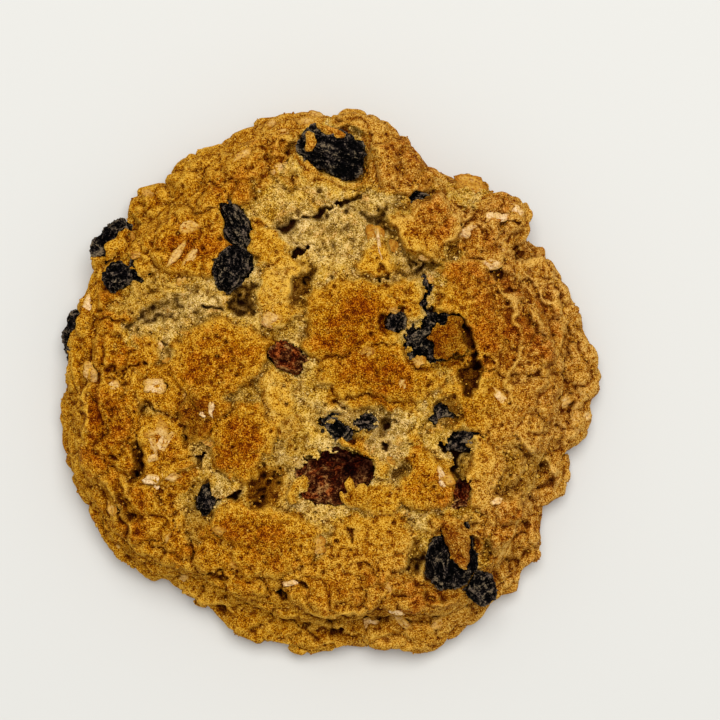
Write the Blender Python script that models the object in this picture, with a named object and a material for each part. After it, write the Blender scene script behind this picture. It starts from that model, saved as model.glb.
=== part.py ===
"""A thick oatmeal raisin cookie, baked as one lump of dough with raisins set in its top and sides.

The tables below are in millimetres and degrees, and MM turns them into metres. The cookie lies flat,
with its top towards +Z and the origin on the table under its middle. North is +Y and east is +X. The
dough is one solid with a pocket for each raisin, and each raisin is a solid of its own.
"""

import math

import bmesh
import bpy
import numpy as np
from mathutils import Euler, Matrix, Vector

MM = 0.001

# Driving dimensions of the dough.
CENTRE_HEIGHT = 21.5
SHOULDER_HEIGHT = 15.5
SHOULDER_ROUND = 5.5
SKIRT_HEIGHT = 9.0
SKIRT_ROUND = 4.0
SKIRT_BLEND = 2.5
LUMP_BLEND = 1.6

# Reach of the skirt, the low layer that spread first, from the centre. One value every 15 degrees,
# anticlockwise from +X.
SKIRT_REACH = (
    51.6, 49.0, 46.6, 48.0, 46.2, 49.4, 53.2, 52.9, 51.4, 50.0, 51.9, 52.7,
    53.2, 54.9, 55.4, 54.2, 50.2, 52.3, 52.9, 53.4, 55.8, 51.4, 49.0, 49.0,
)
# How far the thick upper dough stands back from the skirt's edge, at the same angles.
SHELF_WIDTH = (
    6.0, 4.5, 3.5, 1.5, 1.0, 1.5, 1.5, 2.0, 3.0, 3.0, 2.0, 1.5,
    1.5, 2.0, 2.5, 2.5, 3.0, 4.5, 5.0, 5.5, 4.0, 3.5, 3.5, 5.0,
)

# Broad rises and hollows of the top: x, y, radius, rise.
KNOLLS = (
    (10, 8, 13, 1.2),
    (36, 4, 13, 1.0),
    (-22, -2, 11, 1.1),
    (-42, -9, 9, 0.8),
    (-3, -37, 12, 0.8),
    (-15, -30, 9, 0.6),
    (31, -28, 8, 0.9),
    (17, 30, 6, 1.4),
    (-29, 27, 9, 1.0),
    (-12, 40, 8, 0.8),
    (14, 43, 7, 0.8),
    (32, 32, 6, 0.6),
    (1, 30, 8, -1.3),
    (-33, 14, 7, -1.2),
    (-8, -6, 7, -0.8),
    (9, -10, 7, -1.3),
    (25, -13, 6, -1.6),
    (18, 19, 4, -1.4),
)

# Lumps that the dough pushed out round its edge: x, y, z, half length, half width, half height, turn.
RIM_LUMPS = (
    (5.5, 49.4, 9.0, 7.0, 4.6, 6.0, -8),
    (-10.0, 49.0, 5.0, 9.0, 4.2, 5.0, 12),
    (13.2, 43.8, 8.0, 7.0, 4.0, 6.0, -38),
    (28.0, 37.4, 4.5, 4.4, 3.4, 3.8, -20),
    (34.0, 32.0, 8.0, 5.6, 5.2, 6.5, -45),
    (40.2, 21.8, 5.0, 4.5, 6.0, 5.0, 25),
    (45.4, 13.6, 5.0, 3.9, 7.0, 5.0, 18),
    (49.0, 1.4, 4.6, 4.5, 8.5, 4.6, 0),
    (47.2, -8.6, 5.0, 4.8, 4.2, 4.8, -30),
    (43.8, -18.4, 4.5, 3.8, 4.8, 4.5, 10),
    (38.2, -32.6, 4.0, 3.6, 4.8, 4.0, -20),
    (33.6, -38.8, 4.2, 4.4, 3.8, 4.2, -45),
    (15.0, -49.8, 4.6, 9.5, 4.4, 4.6, 5),
    (-4.5, -50.3, 4.2, 8.5, 4.2, 4.2, 0),
    (-17.0, -47.8, 4.2, 7.0, 4.2, 4.2, -15),
    (-26.4, -43.0, 3.8, 5.0, 3.4, 3.8, -38),
    (-39.6, -34.4, 3.2, 2.6, 2.4, 3.0, 0),
    (-36.2, 35.6, 5.0, 5.0, 3.4, 5.0, 44),
    (-26.0, 41.9, 7.0, 7.5, 3.8, 6.0, 30),
)

# Raisins: name, x, y, how far its middle is under the crust, half length, half width, half height, turn.
RAISINS = (
    ("raisin_north", 0.8, 44.6, 0.4, 7.2, 4.9, 4.4, -26),
    ("raisin_northwest_neck", -18.6, 30.6, 1.4, 4.2, 2.6, 3.2, -62),
    ("raisin_northwest_drop", -19.6, 21.8, 1.2, 4.4, 3.9, 4.0, 70),
    ("raisin_west_upper", -42.2, 20.2, 0.9, 3.6, 2.5, 2.8, -55),
    ("raisin_west_slit", -37.2, 22.6, 1.4, 3.0, 1.7, 2.4, 35),
    ("raisin_middle", -8.6, 4.4, 1.7, 4.0, 2.9, 3.2, -20),
    ("raisin_red", 1.0, -18.6, 1.3, 7.6, 5.6, 4.2, 12),
    ("raisin_capped", 20.4, 8.0, 2.0, 5.8, 5.2, 4.2, 25),
    ("raisin_dot", 12.4, 11.6, 1.2, 2.3, 1.8, 2.2, 60),
    ("raisin_crack_north", 18.4, 17.4, 1.2, 3.6, 1.8, 2.4, 88),
    ("raisin_northeast", 15.8, 35.3, 1.6, 3.0, 2.0, 2.4, 35),
    ("raisin_valley_west", 1.6, -8.8, 1.2, 2.8, 2.0, 2.4, -30),
    ("raisin_valley_middle", 7.3, -7.9, 1.3, 2.6, 2.0, 2.4, -5),
    ("raisin_valley_east", 21.8, -6.0, 1.4, 2.8, 2.1, 2.4, 20),
    ("raisin_east_slit", 26.0, -11.6, 1.4, 4.4, 2.0, 2.8, -4),
    ("raisin_east_brown", 25.3, -22.2, 1.4, 3.2, 1.9, 2.6, 68),
    ("raisin_southeast", 23.2, -35.2, 1.4, 6.1, 4.8, 4.2, 76),
    ("raisin_southeast_rim", 30.0, -41.2, 0.6, 3.6, 2.9, 3.2, -58),
    ("raisin_southwest_slit", -24.6, -23.4, 1.3, 2.9, 1.7, 2.4, 78),
)
# Raisins that stick out of the side: name, x, y, z, half length, half width, half height, turn.
SIDE_RAISINS = (
    ("raisin_northwest_edge", -43.4, 27.8, 10.5, 5.2, 3.0, 3.4, 52),
    ("raisin_west_edge", -50.8, 8.8, 6.5, 5.6, 2.9, 3.4, 92),
)
PALER_RAISINS = ("raisin_middle", "raisin_red", "raisin_east_brown")
SOCKET_GAP = 0.35  # between a raisin and its pocket
FOLDS = 5  # wrinkles round a raisin
FOLD_DEPTH = 0.1  # as a share of the raisin's thickness
RAISIN_AROUND = 12
RAISIN_ALONG = 6

# Fineness of the dough's mesh: it is first shaped by rays, then evened out and thinned.
SECTORS = 240
TOP_RINGS = 36
SIDE_STEPS = 32
CORE_HEIGHT = 5.0  # the rays that find the side start at this height
CORE_INSET = 11.0  # and this far in from the skirt's edge
LONGEST_RAY = 34.0
RAY_STEPS = 69
LOWEST_RAY = -38.0
UNDERCUT_DEPTH = 2.0  # how far the rough shape reaches below the table before it is trimmed flat
VOXEL = 1.1
KEPT_SHARE = 0.1

DOUGH_COLOUR = (0.40, 0.17, 0.035, 1)
RAISIN_COLOUR = (0.018, 0.012, 0.013, 1)
PALER_RAISIN_COLOUR = (0.085, 0.022, 0.010, 1)


def around(values, angle):
    """A smooth closed curve through values spaced evenly round the circle, at the given angles."""
    values = np.asarray(values, float)
    place = (np.asarray(angle) % math.tau) / math.tau * len(values)
    before = np.floor(place).astype(int)
    t = place - before
    p0, p1, p2, p3 = (values[(before + k) % len(values)] for k in (-1, 0, 1, 2))
    return p1 + 0.5 * t * (
        p2 - p0 + t * (2 * p0 - 5 * p1 + 4 * p2 - p3 + t * (3 * (p1 - p2) + p3 - p0))
    )


def soft_min(a, b, blend):
    """The lesser of two distances, rounded where they meet, so that shapes melt into each other."""
    h = np.clip(0.5 + 0.5 * (b - a) / blend, 0, 1)
    return b + (a - b) * h - blend * h * (1 - h)


def slab(sideways, above, round_over):
    """Distance to a slab with a rounded rim, from the distances past its side and past its top."""
    a, b = sideways + round_over, above + round_over
    outside = np.hypot(np.maximum(a, 0), np.maximum(b, 0))
    return outside + np.minimum(np.maximum(a, b), 0) - round_over


def crust_height(x, y):
    """Height of the dough's top over the table."""
    angle = np.arctan2(y, x)
    reach = around(SKIRT_REACH, angle) - around(SHELF_WIDTH, angle)
    share = np.clip(np.hypot(x, y) / reach, 0, 1)
    height = SHOULDER_HEIGHT + (CENTRE_HEIGHT - SHOULDER_HEIGHT) * (1 - share**2.4)
    for kx, ky, radius, rise in KNOLLS:
        height = height + rise * np.exp(-((x - kx) ** 2 + (y - ky) ** 2) / radius**2)
    return height


def lump_distance(x, y, z, lump):
    """Distance to one ellipsoid of RIM_LUMPS, near enough close to its surface."""
    cx, cy, cz, length, width, height, turn = lump
    c, s = math.cos(math.radians(turn)), math.sin(math.radians(turn))
    along = ((x - cx) * c + (y - cy) * s) / length
    across = ((y - cy) * c - (x - cx) * s) / width
    up = (z - cz) / height
    share = np.sqrt(along**2 + across**2 + up**2)
    return (share - 1) * min(length, width, height)


def dough_distance(x, y, z):
    """Distance to the dough's surface, less than 0 inside it."""
    angle, radius = np.arctan2(y, x), np.hypot(x, y)
    reach = around(SKIRT_REACH, angle)
    skirt = slab(radius - reach, z - SKIRT_HEIGHT, SKIRT_ROUND)
    upper = slab(radius - reach + around(SHELF_WIDTH, angle), z - crust_height(x, y), SHOULDER_ROUND)
    distance = soft_min(skirt, upper, SKIRT_BLEND)
    for lump in RIM_LUMPS:
        distance = soft_min(distance, lump_distance(x, y, z, lump), LUMP_BLEND)
    # Near the table the side turns in to the flat base.
    return distance + 0.35 * np.clip(2.0 - z, 0, 2) ** 2


def cast(start, direction):
    """Where rays from inside the dough reach its surface."""
    steps = np.linspace(0, LONGEST_RAY, RAY_STEPS)
    points = start[None] + steps[:, None, None] * direction[None]
    distance = dough_distance(points[..., 0], points[..., 1], points[..., 2])
    outside = distance > 0
    first = np.maximum(np.argmax(outside, axis=0), 1)
    row = np.arange(len(start))
    near, far = distance[first - 1, row], distance[first, row]
    reach = steps[first - 1] + (steps[1] - steps[0]) * near / (near - far)
    return start + reach[:, None] * direction


def dough_rings():
    """The dough's surface as rings of points, from the top's middle out and down to the base."""
    angle = np.arange(SECTORS) * math.tau / SECTORS
    outward = np.stack([np.cos(angle), np.sin(angle), np.zeros(SECTORS)], axis=1)
    up = np.array([0.0, 0.0, 1.0])
    core = (around(SKIRT_REACH, angle) - CORE_INSET)[:, None]
    rings = []
    for ring in range(1, TOP_RINGS + 1):
        start = outward * core * ring / TOP_RINGS + up * CORE_HEIGHT
        rings.append(cast(start, np.repeat(up[None], SECTORS, axis=0)))
    start = outward * core + up * CORE_HEIGHT
    for step in range(1, SIDE_STEPS + 1):
        slope = math.radians(90 + (LOWEST_RAY - 90) * step / SIDE_STEPS)
        rings.append(cast(start, math.cos(slope) * outward + math.sin(slope) * up))
    rings.append(rings[-1] * (1, 1, 0) - up * UNDERCUT_DEPTH)
    return rings


def make_material(name, colour, roughness):
    material = bpy.data.materials.new(name)
    material.use_nodes = True
    shader = material.node_tree.nodes["Principled BSDF"]
    shader.inputs["Base Color"].default_value = colour
    shader.inputs["Roughness"].default_value = roughness
    shader.inputs["Metallic"].default_value = 0.0
    return material


def make_object(name, form, material=None):
    mesh = bpy.data.meshes.new(name)
    form.to_mesh(mesh)
    form.free()
    mesh.shade_smooth()
    mesh.set_sharp_from_angle(angle=math.radians(50))
    made = bpy.data.objects.new(name, mesh)
    bpy.context.scene.collection.objects.link(made)
    if material:
        mesh.materials.append(material)
    return made


def make_dough(material):
    form = bmesh.new()
    top = float(crust_height(np.zeros(1), np.zeros(1))[0])
    peak = form.verts.new((0, 0, top * MM))
    rings = [[form.verts.new(Vector(p) * MM) for p in ring] for ring in dough_rings()]
    for i in range(SECTORS):
        j = (i + 1) % SECTORS
        form.faces.new((peak, rings[0][i], rings[0][j]))
        for inner, outer in zip(rings, rings[1:]):
            form.faces.new((inner[i], outer[i], outer[j], inner[j]))
    form.faces.new(reversed(rings[-1]))
    bmesh.ops.recalc_face_normals(form, faces=form.faces)
    dough = make_object("dough", form, material)
    evened = dough.modifiers.new("Even mesh", "REMESH")
    evened.mode = "VOXEL"
    evened.voxel_size = VOXEL * MM
    evened.use_smooth_shade = True
    thinned = dough.modifiers.new("Thin mesh", "DECIMATE")
    thinned.ratio = KEPT_SHARE
    trim_base(dough)
    return dough


def trim_base(dough):
    """Keeps only what is above the table, so that the dough rests on one flat face."""
    form = bmesh.new()
    bmesh.ops.create_cube(form, size=1)
    room = make_object("room_above_table", form)
    room.scale = (0.2, 0.2, 0.1)
    room.location = (0, 0, 0.05)
    room.hide_render = True
    room.display_type = "WIRE"
    trimmed = dough.modifiers.new("Flat base", "BOOLEAN")
    trimmed.operation = "INTERSECT"
    trimmed.object = room


def raisin_form(half_sizes, phase):
    """A closed ellipsoid with shallow folds along its length, about the origin."""
    form = bmesh.new()
    bmesh.ops.create_uvsphere(
        form,
        u_segments=RAISIN_AROUND,
        v_segments=RAISIN_ALONG,
        radius=1,
        matrix=Matrix.Rotation(math.pi / 2, 4, "Y"),
    )
    for vert in form.verts:
        along = vert.co.x
        turn = math.atan2(vert.co.z, vert.co.y)
        fold = FOLD_DEPTH * math.cos(FOLDS * turn + phase) * (1 - along**2)
        pinch = 1 - 0.12 * math.cos(3 * along + phase)
        vert.co.y *= (1 + fold) * pinch
        vert.co.z *= (1 + fold) * pinch
        vert.co = Vector(a * b * MM for a, b in zip(vert.co, half_sizes))
    bmesh.ops.recalc_face_normals(form, faces=form.faces)
    return form


def raisin_places():
    """Every raisin's name, centre, half sizes and turn."""
    for name, x, y, sunk, *half_sizes, turn in RAISINS:
        z = float(crust_height(np.array(x, float), np.array(y, float))) - sunk
        yield name, (x, y, z), half_sizes, turn
    for name, x, y, z, *half_sizes, turn in SIDE_RAISINS:
        yield name, (x, y, z), half_sizes, turn


def set_raisin(dough, number, name, centre, half_sizes, turn, material):
    """One raisin, and the pocket that holds it."""
    raisin = make_object(name, raisin_form(half_sizes, number), material)
    pocket = [size + SOCKET_GAP for size in half_sizes]
    cutter = make_object("pocket_of_" + name, raisin_form(pocket, number))
    cutter.hide_render = True
    cutter.display_type = "WIRE"
    for piece in (raisin, cutter):
        piece.location = Vector(centre) * MM
        piece.rotation_euler = Euler((0, 0, math.radians(turn)))
    cut = dough.modifiers.new("Pocket of " + name, "BOOLEAN")
    cut.operation = "DIFFERENCE"
    cut.object = cutter


def main():
    for old in list(bpy.data.objects):
        bpy.data.objects.remove(old)
    dough = make_dough(make_material("baked dough", DOUGH_COLOUR, 0.8))
    dark_skin = make_material("dark raisin skin", RAISIN_COLOUR, 0.45)
    paler_skin = make_material("red-brown raisin skin", PALER_RAISIN_COLOUR, 0.4)
    for number, place in enumerate(raisin_places()):
        skin = paler_skin if place[0] in PALER_RAISINS else dark_skin
        set_raisin(dough, number, *place, skin)


main()
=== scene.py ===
"""The looks of a thick oatmeal raisin cookie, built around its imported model.

The dough is carved as a distance field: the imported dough's shape, raised into browned plates and
sunken into pale crumb, cracked, pitted and crumbly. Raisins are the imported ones, wrinkled. Oat flakes
and loose crumbs lie on top. Lengths are in millimetres and turns in degrees, with +X east and +Y north
when the cookie is looked down on, and MM turns them into metres.
"""

import itertools
import math

import bmesh
import bpy
import numpy as np
import openvdb
from mathutils import Matrix, Vector
from mathutils.bvhtree import BVHTree


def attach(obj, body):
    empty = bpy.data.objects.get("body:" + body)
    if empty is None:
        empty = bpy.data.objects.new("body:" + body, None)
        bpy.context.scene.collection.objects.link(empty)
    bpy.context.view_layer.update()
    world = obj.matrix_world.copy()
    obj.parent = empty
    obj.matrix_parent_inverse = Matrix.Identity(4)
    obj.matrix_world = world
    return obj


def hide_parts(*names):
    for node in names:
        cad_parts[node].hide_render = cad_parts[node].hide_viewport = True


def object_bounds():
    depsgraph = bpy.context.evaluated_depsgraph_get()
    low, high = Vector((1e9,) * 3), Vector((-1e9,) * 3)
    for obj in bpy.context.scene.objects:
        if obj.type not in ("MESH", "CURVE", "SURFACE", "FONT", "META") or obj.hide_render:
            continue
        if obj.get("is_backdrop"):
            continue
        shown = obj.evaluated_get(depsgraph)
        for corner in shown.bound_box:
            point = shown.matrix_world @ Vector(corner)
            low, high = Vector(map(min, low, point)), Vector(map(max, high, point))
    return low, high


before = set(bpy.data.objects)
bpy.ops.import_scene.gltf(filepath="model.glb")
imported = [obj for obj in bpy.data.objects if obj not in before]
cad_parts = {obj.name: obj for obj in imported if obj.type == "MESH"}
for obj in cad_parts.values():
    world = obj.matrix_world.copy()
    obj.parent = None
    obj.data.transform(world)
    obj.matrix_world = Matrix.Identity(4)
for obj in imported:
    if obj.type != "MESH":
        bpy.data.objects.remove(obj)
CAD_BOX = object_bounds()

MM = 0.001
WELD = 0.001  # points closer together than this become one
VOXEL = 0.34
BAND = 4.5  # how far from the plain surface relief may reach
SIDE_BAND = 3.2  # how far from the plain surface the side is shaped
SOCKET_BAND = 2.2  # how far from a raisin its distances are known
SOCKET_REACH = 0.8  # how far round a packed raisin its pocket may reach
MARGIN = 3.0  # empty space kept round the dough
# What stands out above the mean height over this width gets painted light, and what sinks gets painted shade.
STAND_SIZE = 2.2  # what stands out does so from the mean height over about this width
DOUGH_TRIANGLES = 197_000
STRAY_POINTS = 70  # a separate bit of dough with fewer points than this is dropped

RAISINS = [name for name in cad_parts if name.startswith("raisin")]
RED_RAISINS = ("raisin_red", "raisin_middle", "raisin_east_brown")

# Browned plates of the top crust: x, y, half length, half width, turn, rise, browning from 0 to 1.
CRUSTS = (
    (4.5, 11.5, 9.5, 8.5, 10, 1.5, 0.96),
    (9, 1.5, 11.5, 6.5, -6, 1.4, 0.95),
    (22.4, 8.6, 4.2, 4.6, 5, 0, 1),
    (13, 16, 5, 4.5, 0, 1.2, 0.68),
    (34, 11, 13, 13, 0, 1.3, 0.8),
    (33, -4, 12, 8.5, -8, 1.2, 0.54),
    (27, 20, 7, 5, 35, 1.2, 0.74),
    (19, 30, 7.2, 6.2, 25, 2, 0.8),
    (14.5, 42.5, 8, 4.4, -38, 1.2, 0.78),
    (3, 50.5, 8, 3, 0, 0.7, 0.62),
    (-21, 38.5, 9, 4.2, 30, 1, 0.7),
    (-13, 46.2, 5.5, 2.6, 20, 1, 0.74),
    (-28, 27, 8.8, 6.2, 15, 1.3, 0.88),
    (-36, 29.5, 5.5, 4.5, 50, 1, 0.6),
    (-20.5, 31, 3.4, 1.8, 15, 1, 0.66),
    (-12.5, 27, 4.5, 6.6, 25, 1.3, 0.45),
    (-8.8, 18.5, 4.5, 6.8, 12, 1.3, 0.2),
    (-42, 16, 5, 4.5, 60, 1, 0.75),
    (-22, 4.5, 10.5, 6.6, 12, 1.6, 0.76),
    (-17.3, -12.5, 6.2, 7.8, -5, 1.7, 1),
    (-44, -8, 6.6, 14, 0, 1.1, 0.86),
    (-42, 5, 7.5, 6.5, 30, 1.1, 0.72),
    (-33.5, -1.5, 5, 4.5, 0, 0.9, 0.55),
    (-33, -13, 5.4, 6.8, 10, 1.4, 0.72),
    (-25.6, -6, 4.3, 5.6, -10, 2.2, 1),
    (-38, -27, 8, 7, -35, 1.2, 0.86),
    (-28, -32, 6.5, 5.5, 0, 1.2, 0.7),
    (-13.6, -30.8, 11, 7, -14, 1.8, 0.8),
    (-21, -38, 8, 4.5, -30, 1.2, 0.66),
    (2, -40.6, 12, 5.6, 6, 1.8, 0.66),
    (17, -42, 7, 4.2, 22, 1.6, 0.84),
    (7.5, -31.8, 9.5, 5.8, 14, 0.6, 0.38),
    (10, -23, 5, 4, 0, 0.9, 0.34),
    (19, -20, 5.4, 5.4, 30, 1.5, 0.8),
    (15.5, -13, 3.6, 4, 0, 1, 0.85),
    (36, -28.5, 5.6, 7.4, 22, 1.7, 0.8),
    (24, -31.2, 4.2, 4.8, 0, 1.4, 1),
    (29.5, -18, 4.3, 6.4, 8, 1.4, 0.42),
    (35.5, -10.5, 7, 4.2, -10, 1, 0.5),
    (33.5, 33, 5, 3.4, -25, 1.3, 0.7),
    (26, 37.6, 4, 2.8, -15, 0.8, 0.62),
    (30.5, 27, 4.6, 3.4, -35, 1.2, 0.74),
    (40.5, 21, 5, 4.2, -50, 1, 0.5),
    (-30, 39.5, 5.5, 2.8, 40, 0.7, 0.46),
    (-7.6, 42.3, 2.8, 2.2, 0, 1, 0.6),
    (-9.5, -6, 3.4, 7.5, 8, 0.7, 0.2),
    (9, -4.8, 8, 1.9, -8, 0.7, 0.7),
    (-30.5, -20, 5, 2.2, 0, 0.8, 0.62),
    (8.6, 25.4, 3.4, 4.4, 0, 1, 0.3),
    (-12, -21, 4.4, 3.4, 30, 0, 0.4),
    (5.5, -11.6, 4.5, 2, -15, 0.9, 0.85),
)

# Sunken pale crumb: x, y, half length, half width, turn, depth, paleness, shade.
HOLLOWS = (
    (0.5, 30.5, 10.5, 5.2, -6, 0.9, 1, 0),
    (-8, 34.5, 8, 4.4, 8, 0.5, 0.75, 0),
    (8, 34, 6, 4, 0, 0.5, 0.85, 0),
    (-30, 13.5, 10.5, 4.2, 14, 0.8, 0.95, 0),
    (-38, 16.5, 5.5, 3.4, 10, 0.6, 0.4, 0.2),
    (-8, -14, 3.6, 6, 0, 0.6, 0.2, 0.35),
    (11.5, -10.5, 4.8, 3.8, 0, 0.2, 1, 0),
    (3.5, -8.2, 7.5, 2.4, -8, 1.3, 0.6, 0.5),
    (24.8, -16, 2.4, 5.6, -8, 1.4, 0.5, 0.55),
    (22, -6.6, 4.2, 2.8, 15, 1.3, 0.3, 0.8),
    (18.6, 21.6, 4.4, 3, 0, 0.5, 0.9, 0.05),
    (-17.2, 16, 3.9, 3.4, 0, 1.9, 0.5, 0.75),
    (-34, 14, 3.6, 2, 10, 0.7, 0.7, 0.5),
    (-5, 18, 1.7, 4.4, -8, 2.2, 0.4, 0.9),
    (16.8, -34, 2.2, 3.6, -10, 1.3, 0.4, 0.6),
    (30.6, -33, 1.6, 3, -15, 1.2, 0.4, 0.4),
    (-12, -21, 3.9, 3, 30, 1.2, 0, 1),
    (12.4, 27.5, 1.8, 5, 22, 0.8, 0.7, 0.35),
    (-39, -15.5, 1.5, 3.2, -12, 3, 0.1, 1),
    (33.5, 22.2, 2.6, 1.5, -10, 2.4, 0, 0.9),
    (37, -17.5, 5, 4.6, 0, 0.5, 0.25, 0.3),
    (25.8, 0.6, 2.4, 2.6, 0, 3.2, 0.1, 0.9),
    (4.5, -22.4, 4, 2.4, -20, 0.4, 0.9, 0.2),
    (14, -17, 1.8, 2.4, 0, 1.1, 0.7, 0.5),
    (-7.4, 25, 1.4, 1.2, 0, 0.2, 0.4, 0.1),
    (17.8, 36.6, 2.4, 1.5, 35, 1.5, 0.3, 0.75),
    (-42.5, -24.5, 2.2, 2.8, 0, 1.2, 0.1, 0.6),
    (-30.5, -20, 4.5, 1.6, 0, 0.6, 0, 0.1),
    (-26.4, -6, 3.4, 4.8, -10, 0, 0, 0.65),
    (26.2, 7, 1.3, 5.2, 6, 0.3, 0, 1),
    (22.4, 8.6, 3.4, 4, 5, 0, 0, 0.5),
    (24, -31.2, 2.4, 4.2, 8, 0, 0, 0.4),
    (26, 37.6, 3.2, 2.2, -15, 0, 0.85, 0),
    (-9.5, -6, 3.2, 6.5, 8, 0, 0.4, 0),
    (-8.8, 18.5, 3.5, 5.5, 12, 0, 0.35, 0),
    (-7.6, 42.3, 2.6, 2.2, 0, 0, 0.85, 0),
    (-3.9, 46.5, 2, 2.4, 0, 0, 1, 0),
    (0.4, 48.4, 3.4, 1.6, -14, 0, 1, 0),
    (9, -4.5, 8, 1.6, -8, 0.4, 0, 0),
    (-26, -24.5, 2.8, 5.5, 0, 0.9, 0.4, 0.5),
)

# Cracks: width, depth, then the points they pass through.
CRACKS = (
    (1, 2, (-16, 31.8), (-12, 30.3), (-8, 31.3), (-5, 32.5), (-1, 34), (2.5, 34.7), (6, 35.2)),
    (1.4, 4, (-4.4, 27.6), (-5.4, 25.2), (-5.8, 23.4)),
    (0.7, 1.6, (-4.6, 20), (-4.2, 17.5)),
    (1.1, 2.2, (-25, 14.6), (-22, 14)),
    (0.7, 1.2, (12.5, 28), (14, 25), (15.8, 22.6)),
    (1, 3, (9.2, 23.8), (9.4, 21.2)),
    (0.9, 2.2, (17.6, 21.8), (18.5, 19.5)),
    (1.7, 4, (18.7, 19), (19, 17), (18.8, 14.6), (20, 12.8)),
    (1.7, 4.2, (22.6, 12.8), (25, 11), (25.9, 8.2), (26.4, 5), (26.6, 2.4)),
    (1.2, 3.2, (20.5, 4.4), (22.4, 3.8), (25.8, 4.3)),
    (0.9, 2, (-1, -1), (0.3, -2), (-0.3, -3.6), (2, -5.6)),
    (0.8, 1.8, (-37, -6), (-34, -5.6), (-32.4, -6.2)),
    (1.2, 3.2, (-25, -11), (-23, -9.8)),
    (1.2, 3.2, (-28, -15), (-26.2, -14.7), (-27, -16.6)),
    (0.8, 1.8, (-29.6, -9.4), (-28.4, -11.6)),
    (1, 2.2, (-43.8, -13.8), (-43, -15.2)),
    (1, 3.4, (23.2, -12.6), (23.4, -17.2), (24.4, -20)),
    (1.3, 3.6, (22, -12), (26, -12.2), (30.4, -11.2)),
    (1, 3, (3.8, -29.6), (4.6, -30.8), (4.8, -32.4)),
    (0.8, 2, (16.6, -27.4), (16.3, -29.6)),
    (1.8, 4, (-10.9, -41.8), (-10.7, -43.6)),
    (0.8, 2.6, (-10, -41.8), (-7.4, -40.8), (-5.2, -40.2)),
    (1.1, 3.4, (-23, -23.6), (-20.6, -22.8), (-18.2, -21.8)),
    (0.7, 1.2, (-14.6, -23.8), (-12, -21.6), (-7.6, -18.4)),
    (0.8, 2, (-24.6, -39), (-20.4, -39.6)),
    (1, 1.8, (-27.2, -30.6), (-27.4, -33.4)),
    (0.9, 2.2, (26.4, 31.4), (26.6, 29.4)),
    (0.8, 1.8, (33, 31), (36.4, 30.2)),
    (0.8, 1.8, (29, 30.2), (31.6, 29)),
    (0.8, 2, (35, 26.6), (39.4, 25.4)),
    (1.1, 2.8, (1, -10.2), (2.8, -10.6)),
    (1.2, 2.6, (10.8, -8.4), (12.2, -8.2)),
    (0.8, 2, (10.2, -12.2), (11.2, -11.8)),
    (1, 2.4, (29, 4.1), (31, 3.9)),
    (0.7, 1.4, (33, 17.2), (38, 19.6), (43.6, 16.6)),
    (0.9, 2, (-3, 48), (-7, 46), (-9, 43.4)),
    (0.8, 1.8, (19.6, -35.4), (21, -37.6)),
    (0.8, 1.6, (-46, 3.6), (-41, 1.6), (-37.6, 4.4)),
    (0.8, 1.8, (-44, 12), (-37.6, 10.8)),
)

# Ledges where a plate's edge overhangs a lower layer: fall, then the points along its edge.
LEDGES = (
    (1.4, (-29, -42.6), (-22, -44.6), (-18, -46.2), (-10, -45.8), (-4, -47.2), (1, -46.4), (5, -45.3),
     (9, -44), (13, -42), (14.6, -40), (18, -38.4)),
    (1.4, (-7, -49.2), (-3, -50.6), (1, -50)),
    (1.6, (40, 20.5), (42.5, 17), (45, 14), (46.6, 10), (47, 5), (47, 0), (46, -3.4), (42, -6.6)),
    (1.3, (-49.6, 3), (-50, -6), (-49.4, -13), (-47, -20), (-43.4, -27), (-39, -33.4)),
    (1.4, (-40, 27), (-38.6, 32), (-33, 37.4), (-25.4, 41.4), (-17, 44.4), (-8, 45.6)),
    (1.2, (13, 31), (14.4, 26), (19.4, 24.2)),
    (1.2, (24, 28.4), (27.4, 32.6), (28.6, 35.6)),
    (0.8, (38, -13), (42, -16), (43, -21), (40.4, -24)),
    (1.3, (36, 24), (39, 17), (41, 10), (41.5, 3), (39.5, -3)),
    (1.2, (31, -38), (36, -33), (40.5, -26)),
    (1.3, (44, 22), (48, 15), (50, 8), (50.4, 0), (48.6, -6)),
    (0.9, (33.5, 17), (36, 10), (36.5, 2), (35, -6)),
    (1.2, (-45.5, 2), (-45.6, -8), (-44, -16), (-41, -22)),
    (1.2, (-22, 41.5), (-15, 43.2), (-9, 42.4)),
)

# Where the side is drawn in: x, y, reach, depth.
SIDE_DENTS = ((7, 54, 7, 1.1), (-27, -46.5, 8, 1.7))

# Dough that lies over a raisin: x, y, height over the crust, half length, half width, half height, turn.
CAPS = (
    (23, 8.6, 0.5, 3.1, 3.9, 1.7, 5),
    (24.4, -31.4, 0.3, 2.1, 4.4, 1.5, 8),
    (-23, 30.4, 0.1, 1.8, 0.9, 1.1, 20),
    (-3.7, 46.4, -0.2, 1.1, 1.7, 1, 12),
    (0.2, 48.9, 0, 2.4, 1, 1, -14),
    (4.9, -22.3, 0, 3.4, 2.5, 1.3, 24),
    (3.2, -19.8, 0.2, 1.5, 1.3, 1.1, 60),
    (10, -16.4, 0.2, 1.4, 2, 1, 20),
    (-6.4, -21.4, 0.2, 1.3, 2.6, 1.2, -20),
    (7.4, -23.6, 0.3, 2.4, 1.4, 1.4, 25),
    (-42.8, 26.6, 0.1, 3.6, 1.8, 2.2, 58),
    (-46.6, 23.4, -0.6, 1.6, 1.4, 1.8, 60),
    (-48.6, 9.6, -4.2, 1.8, 6, 4.6, 0),
    (16.6, 12.8, 0.2, 1.4, 1.1, 1, 0),
)

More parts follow.
